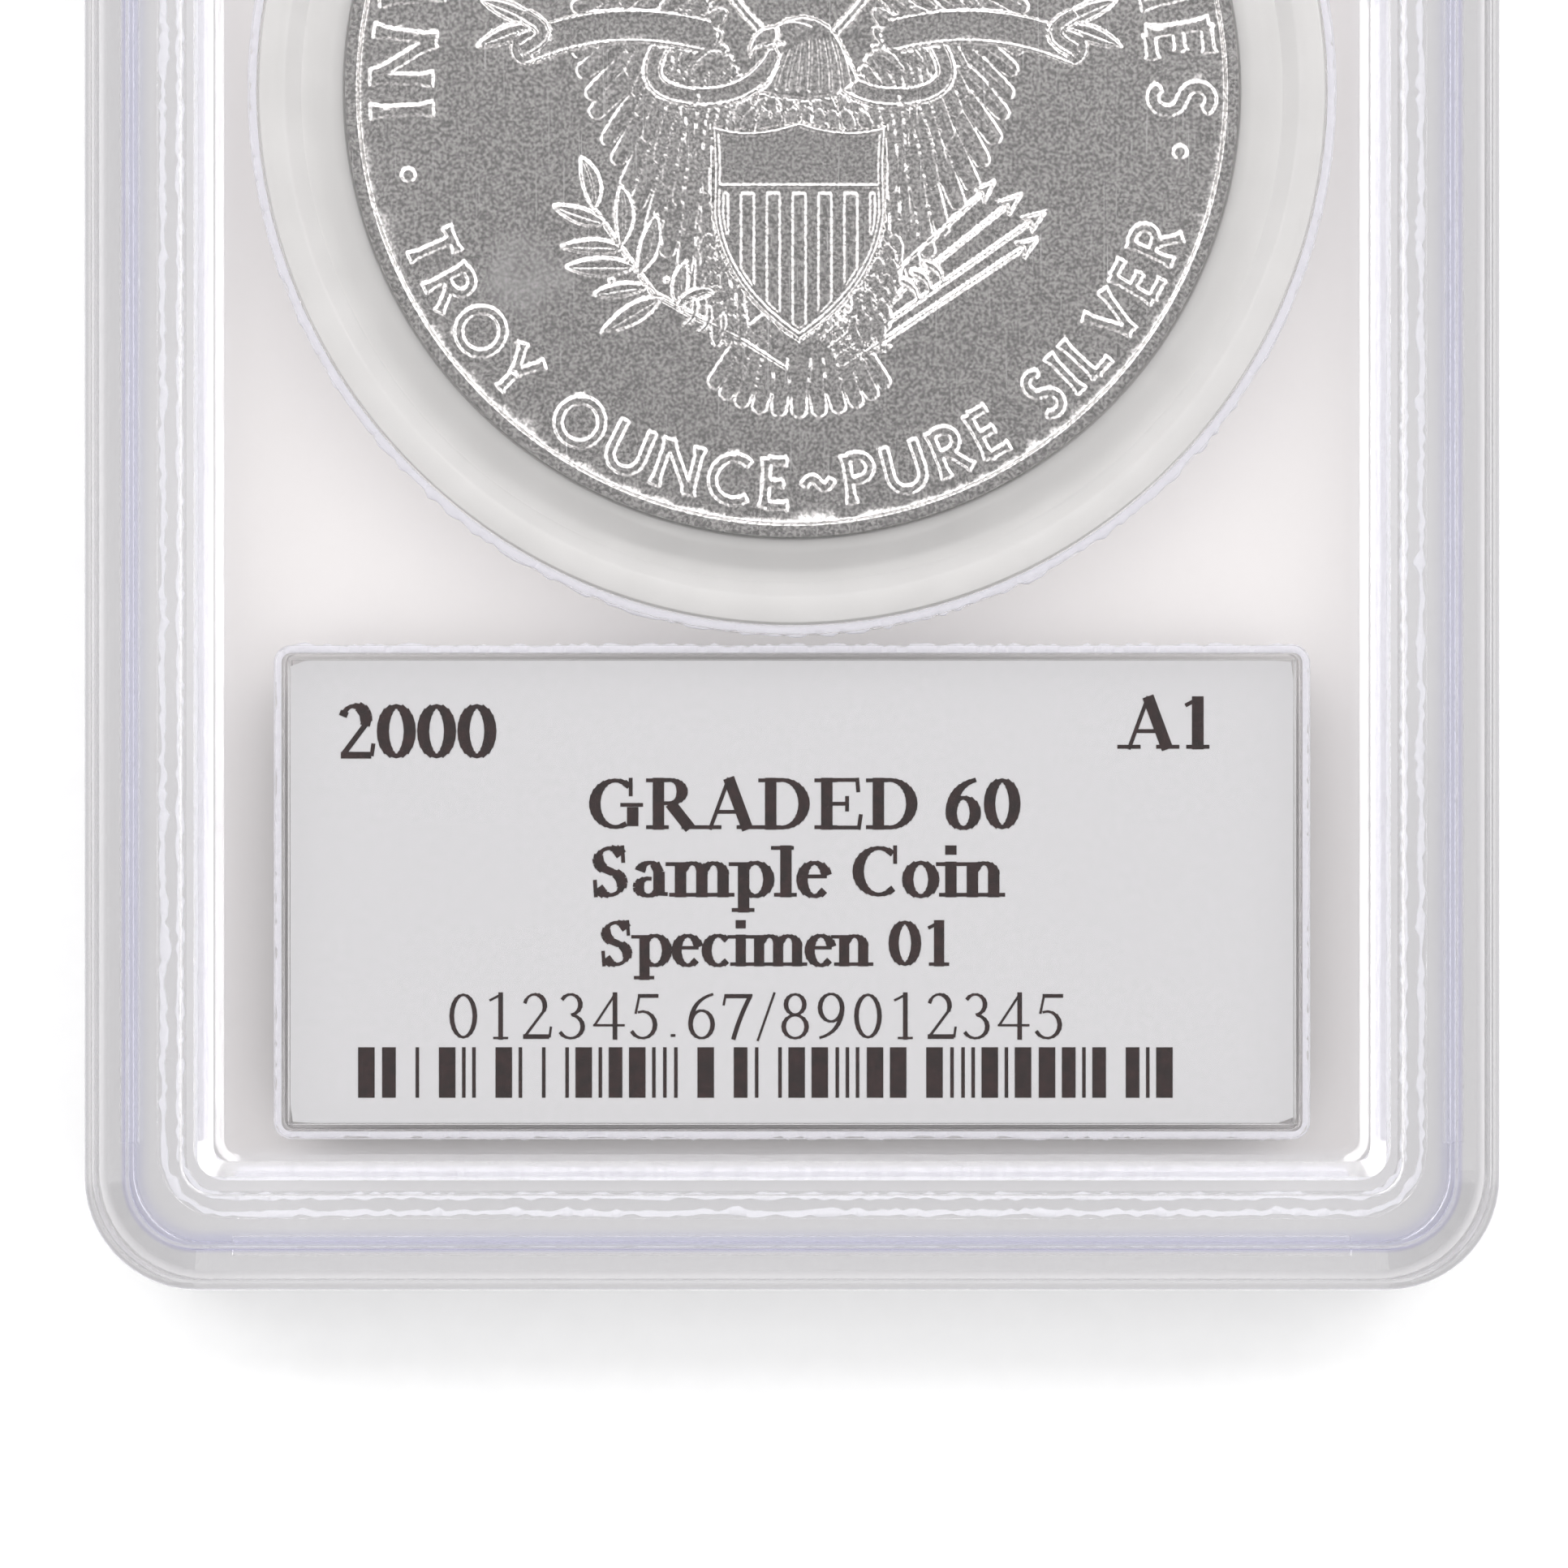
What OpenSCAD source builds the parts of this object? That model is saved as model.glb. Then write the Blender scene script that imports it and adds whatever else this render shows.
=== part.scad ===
// Graded coin slab: a one-ounce coin, its soft ring and two printed cards, sealed between
// two clear moulded shells that are welded together for good.
// The slab lies flat: +X is its width, +Y runs from the label end to the coin end, and +Z
// points out of the back face. The origin is the middle of the underside.

/* [Holder] */
// Width of the holder
slab_w = 63.8; // [62:0.1:90]
// Length of the holder, from the label end to the coin end
slab_l = 86; // [86:0.1:120]
// Thickness over the rims of both faces
slab_t = 7.9; // [7.2:0.1:12]
// Radius of the four outer corners, seen from above
corner_r = 5.1; // [4:0.1:8]
// Rounding of the outer top and bottom edges
edge_r = 0.5; // [0.2:0.05:0.8]
// Chamfer on each shell where the two meet at the side
seam_chamfer = 0.15; // [0.05:0.05:0.3]
// Thickness of each clear face plate
plate_t = 1.15; // [0.9:0.05:1.4]

/* [Stacking rims and recessed faces] */
// Width of the front face's stacking lip
lip_w = 1.8; // [1.4:0.1:2.2]
// Height of the step that locates one slab on the next
stack_step = 0.4; // [0.2:0.05:0.6]
// Clearance between two stacked slabs at that step
stack_gap = 0.2; // [0.1:0.05:0.3]
// Distance from the holder's edge to the flat of the recessed face
face_inset = 5.8; // [5.5:0.1:8]
// Corner radius of the flat of the recessed face
face_corner_r = 0.7; // [0.4:0.1:2]
// Slope of the recess wall, measured from upright
recess_slope = 33; // [10:1:40]

/* [Coin and ring] */
// Diameter of the coin
coin_d = 40.6; // [20:0.1:41]
// Thickness of the coin over its rims
coin_t = 2.98; // [1.6:0.01:3.6]
// Width of the coin's raised rim
coin_rim_w = 0.75; // [0.4:0.05:1.2]
// Height of the coin's rim above its field
coin_rim_h = 0.3; // [0.1:0.05:0.4]
// Clearance between the coin and each face plate
coin_gap = 0.11; // [0.05:0.01:0.3]
// Outside diameter of the soft ring
ring_d = 48.4; // [46:0.1:50]
// Width of the ring's inner lip, which grips the coin
ring_lip_w = 0.6; // [0.3:0.05:1]
// Width of the ring's outer shoulder, which is clamped by the shells
ring_shoulder_w = 1.8; // [1:0.1:2.4]
// Thickness of the ring's thin web
ring_web_t = 1.5; // [0.8:0.1:2]
// Clearance between the ring and the wall of its well
ring_gap = 0.05; // [0.02:0.01:0.15]
// Thickness of the wall round the coin well
ring_wall_t = 0.4; // [0.3:0.05:0.8]
// Distance from the holder's coin end to that wall
coin_end_margin = 7.1; // [5:0.05:9]

/* [Labels] */
// Width of each printed card
card_w = 45.6; // [30:0.1:48]
// Height of each printed card
card_l = 21.05; // [12:0.05:21.5]
// Thickness of each printed card
card_t = 0.3; // [0.15:0.05:0.5]
// Gap from the clamping pad to the wall of the label pocket
pocket_gap = 0.3; // [0.2:0.05:0.5]
// Thickness of the wall round the label pocket
pocket_wall_t = 0.35; // [0.3:0.05:0.6]
// Corner radius of the label pocket's wall
pocket_corner_r = 0.8; // [0.5:0.1:2]
// Distance from the pocket's wall to the wall round the coin well
label_coin_gap = 0.5; // [0.35:0.05:1.5]

/* [Flange and welds] */
// Width of the flange on which the two shells meet
flange_w = 4.2; // [3.8:0.1:4.6]
// Distance from the holder's edge to the start of the weld
weld_inset = 3.1; // [2.9:0.1:3.4]
// Corner radius of the weld's outer edge
weld_corner_r = 3.1; // [1.5:0.1:4]
// Corner radius of the cavity inside the flange
cavity_corner_r = 1.5; // [0.8:0.1:3]
// Height of the fused plastic between the shells
weld_h = 0.3; // [0.2:0.05:0.5]
// How far the weld's flash stands out of a joint
flash_w = 0.15; // [0.05:0.05:0.15]
// Width of the alignment tongues on the front shell
tongue_w = 0.8; // [0.5:0.1:1]
// Height of the alignment tongues
tongue_h = 0.8; // [0.4:0.1:1.2]
// Distance from the holder's edge to a tongue
tongue_inset = 1.5; // [1.2:0.1:1.6]
// Distance from a corner's outer edge to the end of a tongue
tongue_end = 6.6; // [5.5:0.1:12]
// Clearance round a tongue in its groove
tongue_gap = 0.05; // [0.02:0.01:0.1]

/* [Hidden] */
$fn = 96;
ARC_STEPS = 6;
OVERCUT = 1;
half_t = slab_t / 2;
cavity_h = coin_t / 2 + coin_gap;
face_h = cavity_h + plate_t;
coin_r = coin_d / 2;
well_r = ring_d / 2 + ring_gap;
well_wall_r = well_r + ring_wall_t;
coin_y = slab_l / 2 - coin_end_margin - well_wall_r;
pocket_w = card_w + 2 * pocket_gap;
pocket_l = card_l + 2 * pocket_gap;
frame_w = pocket_w + 2 * pocket_wall_t;
frame_l = pocket_l + 2 * pocket_wall_t;
label_y = coin_y - well_wall_r - label_coin_gap - frame_l / 2;
pocket_in_r = pocket_corner_r - pocket_wall_t;
cavity_w = slab_w - 2 * flange_w;
cavity_l = slab_l - 2 * flange_w;

function unit(v) = v / norm(v);

// The arc of radius r that rounds off corner b of the path a, b, c
function corner_arc(a, b, c, r) =
    let (
        u = unit(a - b),
        v = unit(c - b),
        half = acos(u * v) / 2,
        centre = b + unit(u + v) * r / sin(half),
        start = b + u * r / tan(half) - centre,
        stop = b + v * r / tan(half) - centre,
        turn = sign(cross(start, stop)) * (180 - 2 * half),
        from = atan2(start.y, start.x)
    )
    [for (i = [0:ARC_STEPS])
        centre + r * [cos(from + turn * i / ARC_STEPS), sin(from + turn * i / ARC_STEPS)]];

// A closed outline from corners, each written as [x, y, rounding]
function rounded(corners) =
    let (n = len(corners), at = [for (c = corners) [c.x, c.y]])
    [for (i = [0:n - 1])
        each (corners[i].z > 0
            ? corner_arc(at[(i + n - 1) % n], at[i], at[(i + 1) % n], corners[i].z)
            : [at[i]])];

// A flat rectangle with round corners, centred
module round_rect(w, l, r) {
    square([w - 2 * r, l], center = true);
    square([w, l - 2 * r], center = true);
    for (x = [-1, 1], y = [-1, 1])
        translate([x * (w / 2 - r), y * (l / 2 - r)]) circle(r);
}

// Carries a section round a rectangle with round corners. The section's x runs outward from
// the corner's axis, r inside both edges, and its y is the height.
module round_sweep(w, l, r) {
    half = [w / 2 - r, l / 2 - r];
    for (k = [0:3])
        rotate(90 * k)
            translate([half[k % 2], half[(k + 1) % 2], 0]) {
                rotate_extrude(angle = 90) children();
                rotate([90, 0, 0]) linear_extrude(2 * half[(k + 1) % 2]) children();
            }
}

// A solid block whose edge follows a section that starts on the corner's axis
module edged_block(w, l, r, bottom, top) {
    round_sweep(w, l, r) children();
    translate([r - w / 2, r - l / 2, bottom]) cube([w - 2 * r, l - 2 * r, top - bottom]);
}

module at_coin() translate([0, coin_y, 0]) children();

module at_label() translate([0, label_y, 0]) children();

// Floor plans of the walls inside the holder
module ring_wall_plan() {
    difference() {
        circle(well_wall_r);
        circle(well_r);
    }
}

module pocket_wall_plan() {
    difference() {
        round_rect(frame_w, frame_l, pocket_corner_r);
        round_rect(pocket_w, pocket_l, pocket_in_r);
    }
}

module pad_groove_plan() {
    difference() {
        round_rect(pocket_w, pocket_l, pocket_in_r);
        square([card_w, card_l], center = true);
    }
}

module open_cavity_plan() {
    difference() {
        round_rect(cavity_w, cavity_l, cavity_corner_r);
        at_coin() circle(well_wall_r);
        at_label() round_rect(frame_w, frame_l, pocket_corner_r);
    }
}

module weld_land_plan() {
    difference() {
        round_rect(slab_w - 2 * weld_inset, slab_l - 2 * weld_inset, weld_corner_r);
        round_rect(cavity_w, cavity_l, cavity_corner_r);
    }
}

// Places one alignment tongue's section on each straight side, grown by a clearance
module tongues(grow, h) {
    for (k = [0:3]) {
        half = [slab_w / 2, slab_l / 2];
        run = 2 * (half[(k + 1) % 2] - tongue_end) + 2 * grow;
        rotate(90 * k)
            translate([half[k % 2] - tongue_inset - tongue_w - grow, -run / 2, 0])
                cube([tongue_w + 2 * grow, run, h]);
    }
}

// What both shells have cut out of them, with the joint at height 0
module hollows(recess_top) {
    flat_w = slab_w - 2 * face_inset;
    flat_l = slab_l - 2 * face_inset;
    rise = (recess_top - face_h) * tan(recess_slope);
    over = OVERCUT * tan(recess_slope);
    edged_block(flat_w, flat_l, face_corner_r, face_h, recess_top + OVERCUT)
        polygon([
            [0, face_h],
            [face_corner_r, face_h],
            [face_corner_r + rise + over, recess_top + OVERCUT],
            [0, recess_top + OVERCUT]
        ]);
    translate([0, 0, -OVERCUT]) {
        linear_extrude(cavity_h + OVERCUT) open_cavity_plan();
        at_coin() linear_extrude(cavity_h + OVERCUT) circle(well_r);
        at_label() linear_extrude(cavity_h + OVERCUT) pad_groove_plan();
        at_label() linear_extrude(card_t + OVERCUT) square([card_w, card_l], center = true);
        linear_extrude(weld_h / 2 + OVERCUT) {
            weld_land_plan();
            at_coin() ring_wall_plan();
            at_label() pocket_wall_plan();
        }
    }
}

module half_shell(outline, recess_top, joint_top) {
    difference() {
        edged_block(slab_w, slab_l, corner_r, 0, joint_top) polygon(rounded(outline));
        hollows(recess_top);
    }
}

module back_shell() {
    step_x = corner_r - lip_w - stack_gap;
    outline = [
        [0, 0, 0],
        [corner_r - seam_chamfer, 0, 0],
        [corner_r, seam_chamfer, 0],
        [corner_r, half_t - stack_step, edge_r],
        [step_x, half_t - stack_step, stack_step / 3],
        [step_x, half_t, stack_step / 2],
        [0, half_t, 0]
    ];
    color([0.87, 0.87, 0.92, 0.45])
        translate([0, 0, half_t])
            difference() {
                half_shell(outline, half_t, half_t);
                translate([0, 0, -OVERCUT])
                    tongues(tongue_gap, tongue_h + tongue_gap + OVERCUT);
            }
}

module front_shell() {
    rim_h = half_t - stack_step - stack_gap / 2;
    outline = [
        [0, 0, 0],
        [corner_r - seam_chamfer, 0, 0],
        [corner_r, seam_chamfer, 0],
        [corner_r, half_t, edge_r],
        [corner_r - lip_w, half_t, stack_step / 2],
        [corner_r - lip_w, rim_h, stack_step / 3],
        [0, rim_h, 0]
    ];
    color([0.85, 0.85, 0.9, 0.45])
        translate([0, 0, half_t]) {
            mirror([0, 0, 1]) half_shell(outline, rim_h, rim_h);
            tongues(0, tongue_h);
        }
}

module coin_ring() {
    lip_r = coin_r + ring_lip_w;
    shoulder_r = ring_d / 2 - ring_shoulder_w;
    lip_h = coin_t / 2 - coin_rim_h;
    web_h = ring_web_t / 2;
    upper = [
        [coin_r, lip_h, 0],
        [lip_r, lip_h, ring_lip_w / 4],
        [lip_r, web_h, 0],
        [shoulder_r, web_h, 0],
        [shoulder_r + ring_shoulder_w / 3, cavity_h, ring_shoulder_w / 6],
        [ring_d / 2, cavity_h, ring_shoulder_w / 8]
    ];
    lower = [for (i = [len(upper) - 1:-1:0]) [upper[i].x, -upper[i].y, upper[i].z]];
    color([0.9, 0.91, 0.9, 0.6])
        translate([0, coin_y, half_t])
            rotate_extrude() polygon(rounded(concat(upper, lower)));
}

module coin() {
    field_h = coin_t / 2 - coin_rim_h;
    upper = [
        [0, field_h, 0],
        [coin_r - coin_rim_w, field_h, coin_rim_h / 3],
        [coin_r - coin_rim_w + coin_rim_h / 2, coin_t / 2, coin_rim_h / 3],
        [coin_r, coin_t / 2, coin_rim_h / 2]
    ];
    lower = [for (i = [len(upper) - 1:-1:0]) [upper[i].x, -upper[i].y, upper[i].z]];
    color("silver")
        translate([0, coin_y, half_t])
            rotate_extrude() polygon(rounded(concat(upper, lower)));
}

module card() {
    translate([-card_w / 2, label_y - card_l / 2, half_t]) cube([card_w, card_l, card_t]);
}

module back_label() {
    color("whitesmoke") card();
}

module front_label() {
    color("gainsboro") translate([0, 0, -card_t]) card();
}

module rim_weld() {
    color("lavender")
        translate([0, 0, half_t - weld_h / 2])
            linear_extrude(weld_h)
                difference() {
                    round_rect(slab_w - 2 * weld_inset, slab_l - 2 * weld_inset, weld_corner_r);
                    round_rect(cavity_w - 2 * flash_w, cavity_l - 2 * flash_w, cavity_corner_r);
                }
}

module label_weld() {
    color("lavender")
        translate([0, label_y, half_t - weld_h / 2])
            linear_extrude(weld_h)
                difference() {
                    round_rect(frame_w + 2 * flash_w, frame_l + 2 * flash_w, pocket_corner_r);
                    round_rect(pocket_w, pocket_l, pocket_in_r);
                }
}

module ring_weld() {
    color("lavender")
        translate([0, coin_y, half_t - weld_h / 2])
            linear_extrude(weld_h)
                difference() {
                    circle(well_wall_r + flash_w);
                    circle(well_r);
                }
}

back_shell();
front_shell();
coin_ring();
coin();
back_label();
front_label();
rim_weld();
label_weld();
ring_weld();
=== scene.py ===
"""The looks of a graded coin slab: a silver coin in a soft ring and its printed cards, sealed
between two clear moulded shells. Metres, in the frame of the CAD model: +X is the width, +Y
runs from the label end to the coin end, and +Z points out of the back face. Shapes below are
drawn in millimetres and turned to metres when their mesh is made."""

import math

import bpy
import numpy as np
from mathutils.geometry import delaunay_2d_cdt
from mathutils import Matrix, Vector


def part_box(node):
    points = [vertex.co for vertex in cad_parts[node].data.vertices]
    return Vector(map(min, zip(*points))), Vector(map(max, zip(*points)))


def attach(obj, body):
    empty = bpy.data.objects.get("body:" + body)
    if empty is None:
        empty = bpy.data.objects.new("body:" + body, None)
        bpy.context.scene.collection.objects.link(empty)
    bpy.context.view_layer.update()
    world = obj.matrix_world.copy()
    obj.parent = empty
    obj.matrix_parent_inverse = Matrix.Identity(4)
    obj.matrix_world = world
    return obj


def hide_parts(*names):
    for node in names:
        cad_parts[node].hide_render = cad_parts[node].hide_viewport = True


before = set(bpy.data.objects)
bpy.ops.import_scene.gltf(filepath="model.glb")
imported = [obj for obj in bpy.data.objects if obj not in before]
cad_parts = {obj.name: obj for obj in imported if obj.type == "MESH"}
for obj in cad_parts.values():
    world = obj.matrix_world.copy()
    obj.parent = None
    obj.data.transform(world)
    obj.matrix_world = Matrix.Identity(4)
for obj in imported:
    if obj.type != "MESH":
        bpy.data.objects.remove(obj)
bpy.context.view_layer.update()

MM = 0.001


def corners(node):
    """A CAD node's lowest and highest corners, in millimetres."""
    low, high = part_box(node)
    return np.array(low) / MM, np.array(high) / MM


# Sizes in millimetres. The joint is the height where the two halves meet
HALF_W, HALF_L, BACK_FACE = corners("back_shell")[1]
JOINT = corners("back_label")[0][2]
COIN_LOW, COIN_HIGH = corners("coin")
COIN_Y = (COIN_LOW[1] + COIN_HIGH[1]) / 2
COIN_R = (COIN_HIGH[0] - COIN_LOW[0]) / 2
COIN_HALF = COIN_HIGH[2] - JOINT
AIR = 0.02  # between faces that would touch
CORNER_R = 5.1  # of the slab's outline
RIM_W = 5.9  # from the outline to the recessed plates
PLATE_LEVELS = (1.6, 2.75)  # of the plates' two sides, from the joint
SIDE_DEPTH = 1.3  # upright faces this near the outline are outer sides


# ---------------------------------------------------------------- mesh helpers
def into_scene(name, data):
    """A new object in the scene."""
    thing = bpy.data.objects.new(name, data)
    bpy.context.scene.collection.objects.link(thing)
    return thing


def make_piece(name, points, faces, node, material, smooth=True):
    """A mesh piece from millimetre points, which rides on the slab. It stands for a CAD node
    when one is named."""
    mesh = bpy.data.meshes.new(name)
    mesh.from_pydata((np.asarray(points, float) * MM).tolist(), [], faces)
    mesh.materials.append(material)
    mesh.polygons.foreach_set("use_smooth", [smooth] * len(mesh.polygons))
    mesh.update()
    piece = into_scene(name, mesh)
    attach(piece, "root")
    if node:
        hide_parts(node)
    return piece


def crease(piece, degrees):
    """Keeps edges sharper than an angle crisp, and smooths the rest."""
    piece.data.set_sharp_from_angle(angle=math.radians(degrees))


def ribbon_faces(first, second, count):
    """Quads between two closed rows of points, given by their first indices."""
    pairs = [(k, (k + 1) % count) for k in range(count)]
    return [(second + a, second + b, first + b, first + a) for a, b in pairs]


def tube_faces(rows_round, count):
    """Quads over a ring whose section is closed: rows of points, each with as many points."""
    faces = []
    for k in range(rows_round):
        faces += ribbon_faces(k * count, (k + 1) % rows_round * count, count)
    return faces


def circle(r, z, count):
    """Points at even spacing round the Z axis. r may differ from point to point."""
    turns = np.arange(count) * 2 * math.pi / count
    return np.column_stack([r * np.cos(turns), r * np.sin(turns), np.full(count, z)])


def closed_loop(width, length, corner, steps):
    """Points and outward directions at even spacing round a rectangle with round corners."""
    straight = np.array([length - 2 * corner, width - 2 * corner] * 2)
    quarter = math.pi * corner / 2
    total = straight.sum() + 4 * quarter
    centres = np.array([(1, 1), (-1, 1), (-1, -1), (1, -1)]) * (width / 2 - corner, length / 2 - corner)
    points, outward = [], []
    for travelled in np.arange(steps) * total / steps:
        side = 0
        while travelled > straight[side] + quarter:
            travelled -= straight[side] + quarter
            side += 1
        start = math.pi / 2 * side
        along = np.array([-math.sin(start), math.cos(start)])
        angle = start + max(0.0, travelled - straight[side]) / max(corner, 1e-6)
        out = np.array([math.cos(angle), math.sin(angle)])
        points.append(centres[side] + corner * out - along * max(0.0, straight[side] - travelled))
        outward.append(out)
    return np.array(points), np.array(outward)


def flat_solid(outlines, low, high):
    """Points and faces of the solid between two heights over the union of closed outlines."""
    spots = [tuple(p) for outline in outlines for p in outline]
    starts = np.cumsum([0] + [len(outline) for outline in outlines])
    loops = [list(range(a, b)) for a, b in zip(starts[:-1], starts[1:])]
    flat, _, triangles, _, _, sources = delaunay_2d_cdt(spots, [], loops, 1, 1e-5)
    triangles = [t for t, source in zip(triangles, sources) if source]
    count = len(flat)
    points = [(p[0], p[1], high) for p in flat] + [(p[0], p[1], low) for p in flat]
    sides = {(t[k], t[(k + 1) % 3]) for t in triangles for k in range(3)}
    faces = [tuple(t) for t in triangles] + [tuple(count + v for v in reversed(t)) for t in triangles]
    faces += [(b, a, count + a, count + b) for a, b in sides if (b, a) not in sides]
    return points, faces


# ---------------------------------------------------------------- shader helpers
def linear(hex_code):
    """An sRGB hex colour as the linear RGBA that shaders take."""
    parts = [int(hex_code[i:i + 2], 16) / 255 for i in (1, 3, 5)]
    return tuple(c / 12.92 if c <= 0.04045 else ((c + 0.055) / 1.055) ** 2.4 for c in parts) + (1.0,)


def add(tree, kind, settings=None, links=None):
    """Adds one shader node, sets its fields and sockets, and links outputs into its sockets."""
    node = tree.nodes.new("ShaderNode" + kind)
    for name, value in (settings or {}).items():
        if isinstance(name, str) and hasattr(node, name):
            setattr(node, name, value)
        else:
            node.inputs[name].default_value = value
    for name, output in (links or {}).items():
        tree.links.new(output, node.inputs[name])
    return node


def new_material(name):
    """An empty node material and its tree."""
    material = bpy.data.materials.new(name)
    material.use_nodes = True
    material.node_tree.nodes.clear()
    return material, material.node_tree


def noise(tree, grain, detail):
    """Noise in the object's own space, with its grain in millimetres."""
    place = add(tree, "TexCoord").outputs["Object"]
    fineness = {"Scale": 1 / (grain * MM), "Detail": detail}
    return add(tree, "TexNoise", fineness, {"Vector": place}).outputs["Fac"]


def bumps(tree, height, strength, depth):
    """A surface raised by a pattern, to a depth in millimetres."""
    settings = {"Strength": strength, "Distance": depth * MM}
    return add(tree, "Bump", settings, {"Height": height}).outputs["Normal"]


def reckon(tree, operation, *sides, kind="Math", result=0):
    """One step of arithmetic. Each side is a constant or another node's output."""
    linked = {k: side for k, side in enumerate(sides) if isinstance(side, bpy.types.NodeSocket)}
    fixed = {k: side for k, side in enumerate(sides) if k not in linked}
    return add(tree, kind, {"operation": operation, **fixed}, linked).outputs[result]


def reckon_vector(tree, operation, *sides, result="Vector"):
    """One step of arithmetic on vectors."""
    return reckon(tree, operation, *sides, kind="VectorMath", result=result)


def remap(tree, source, start, stop, low=0.0, high=1.0):
    """Carries a value from one range to another and holds it at the ends."""
    ranges = {"From Min": start, "From Max": stop, "To Min": low, "To Max": high}
    return add(tree, "MapRange", ranges, {"Value": source}).outputs[0]


def shades(tree, source, stops):
    """A colour ramp through several stops, each a position from 0 to 1 and a hex colour."""
    ramp = add(tree, "ValToRGB", links={"Fac": source})
    elements = ramp.color_ramp.elements
    while len(elements) < len(stops):
        elements.new(0.5)
    for element, (position, shade) in zip(elements, stops):
        element.position = position
        element.color = linear(shade)
    return ramp.outputs["Color"]


def past_box(tree, place, half):
    """How far a spot lies past a box in each direction, and past its nearer pair of sides."""
    folded = reckon_vector(tree, "ABSOLUTE", place)
    past = reckon_vector(tree, "SUBTRACT", folded, half)
    parts = add(tree, "SeparateXYZ", links={0: past})
    return past, reckon(tree, "MAXIMUM", parts.outputs["X"], parts.outputs["Y"])


def edge_distance(tree, place, reach):
    """How far a spot lies inside the slab's outline, as a share of a reach in millimetres."""
    core = ((HALF_W - CORNER_R) * MM, (HALF_L - CORNER_R) * MM, 1.0)
    past, nearest = past_box(tree, place, core)
    outside = reckon_vector(tree, "MAXIMUM", past, (0, 0, 0))
    length = reckon_vector(tree, "LENGTH", outside, result="Value")
    inside = reckon(tree, "MINIMUM", nearest, 0.0)
    inset = reckon(tree, "SUBTRACT", CORNER_R * MM, reckon(tree, "ADD", length, inside))
    return reckon(tree, "DIVIDE", inset, reach * MM)


def window_mask(tree, place):
    """1 over the coin and the label, where the plastic stays clear, and 0 round them."""
    margin, blur = 0.4, 0.2
    low, high = corners("back_label")
    centre = [v * MM for v in (low + high) / 2]
    half = [v * MM for v in (high - low) / 2 + margin]
    _, label = past_box(tree, reckon_vector(tree, "SUBTRACT", place, centre), half)
    spot = (0, COIN_Y * MM, JOINT * MM)
    near = reckon_vector(tree, "DISTANCE", place, spot, result="Value")
    coin = reckon(tree, "SUBTRACT", near, (COIN_R + margin) * MM)
    return remap(tree, reckon(tree, "MINIMUM", label, coin), blur * MM, -blur * MM)


def let_light_through(tree, surface, shade):
    """Ends a clear plastic: lamps shine through it as through a tinted pane."""
    shadow = add(tree, "LightPath").outputs["Is Shadow Ray"]
    pane = add(tree, "BsdfTransparent", {"Color": linear(shade)}).outputs[0]
    mix = add(tree, "MixShader", links={0: shadow, 1: surface.outputs[0], 2: pane})
    add(tree, "OutputMaterial", links={"Surface": mix.outputs[0]})


def solid(tree, surface):
    """Ends a material that no light goes through."""
    add(tree, "OutputMaterial", links={"Surface": surface.outputs[0]})


# ---------------------------------------------------------------- materials
def moulded_acrylic(name, clearness, roughness, shade, windows=False):
    """Clear acrylic, injection-moulded in a polished tool: glossy and faintly rippled, with a
    little haze, and a painted lavender line where the alignment tongues run inside the edge,
    which stands in for dispersed light at the tongue joint. The upright walls are dulled where
    they drag along the tool, and bend more of a lamp's light aside. With windows, the haze
    spares what lies over the coin and the label."""
    material, tree = new_material(name)
    place = add(tree, "TexCoord").outputs["Object"]
    tint_and_dispersion_reach = 7.0
    # The plastic's own faint tint, with a painted lavender line 1.7 to 2.6 mm in from the outline: painted
    # dispersion, not a colour the plastic has
    tint_and_painted_dispersion = shades(tree, edge_distance(tree, place, tint_and_dispersion_reach), [
        (0.0, "#fefdfe"), (0.245, "#fefdfe"), (0.26, "#e2e0fb"), (0.275, "#f2f1fd"),
        (0.335, "#f1f1fc"), (0.37, "#fefdfe"), (0.8, "#fefdfe"), (0.9, "#fffdfd"),
    ])
    ripples = bumps(tree, noise(tree, 9, 1.0), 0.25, 0.02)
    body = add(tree, "BsdfPrincipled", {
        "Roughness": roughness,
        "IOR": 1.49,
        "Transmission Weight": clearness,
    }, {"Base Color": tint_and_painted_dispersion, "Normal": ripples})
    if windows:
        haze = remap(tree, window_mask(tree, place), 0.0, 1.0, clearness, 0.99)
        tree.links.new(haze, body.inputs["Transmission Weight"])
    let_light_through(tree, body, shade)
    return material


def soft_ring_rubber():
    """Translucent thermoplastic rubber, moulded: a milky grey that glows where it is thin."""
    material, tree = new_material("soft_ring_rubber")
    body = add(tree, "BsdfPrincipled", {
        "Roughness": 0.28,
        "IOR": 1.45,
        "Transmission Weight": 0.45,
    }, {"Base Color": shades(tree, noise(tree, 2.5, 4.0), [(0.3, "#e6e6e5"), (0.7, "#ededec")])})
    let_light_through(tree, body, "#f8f8f8")
    return material


def whitened(tree, tone, share):
    """A tone turned white in some share of it."""
    return add(tree, "MixRGB", {"Color2": linear("#ffffff")}, {"Fac": share, "Color1": tone}).outputs["Color"]


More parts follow.
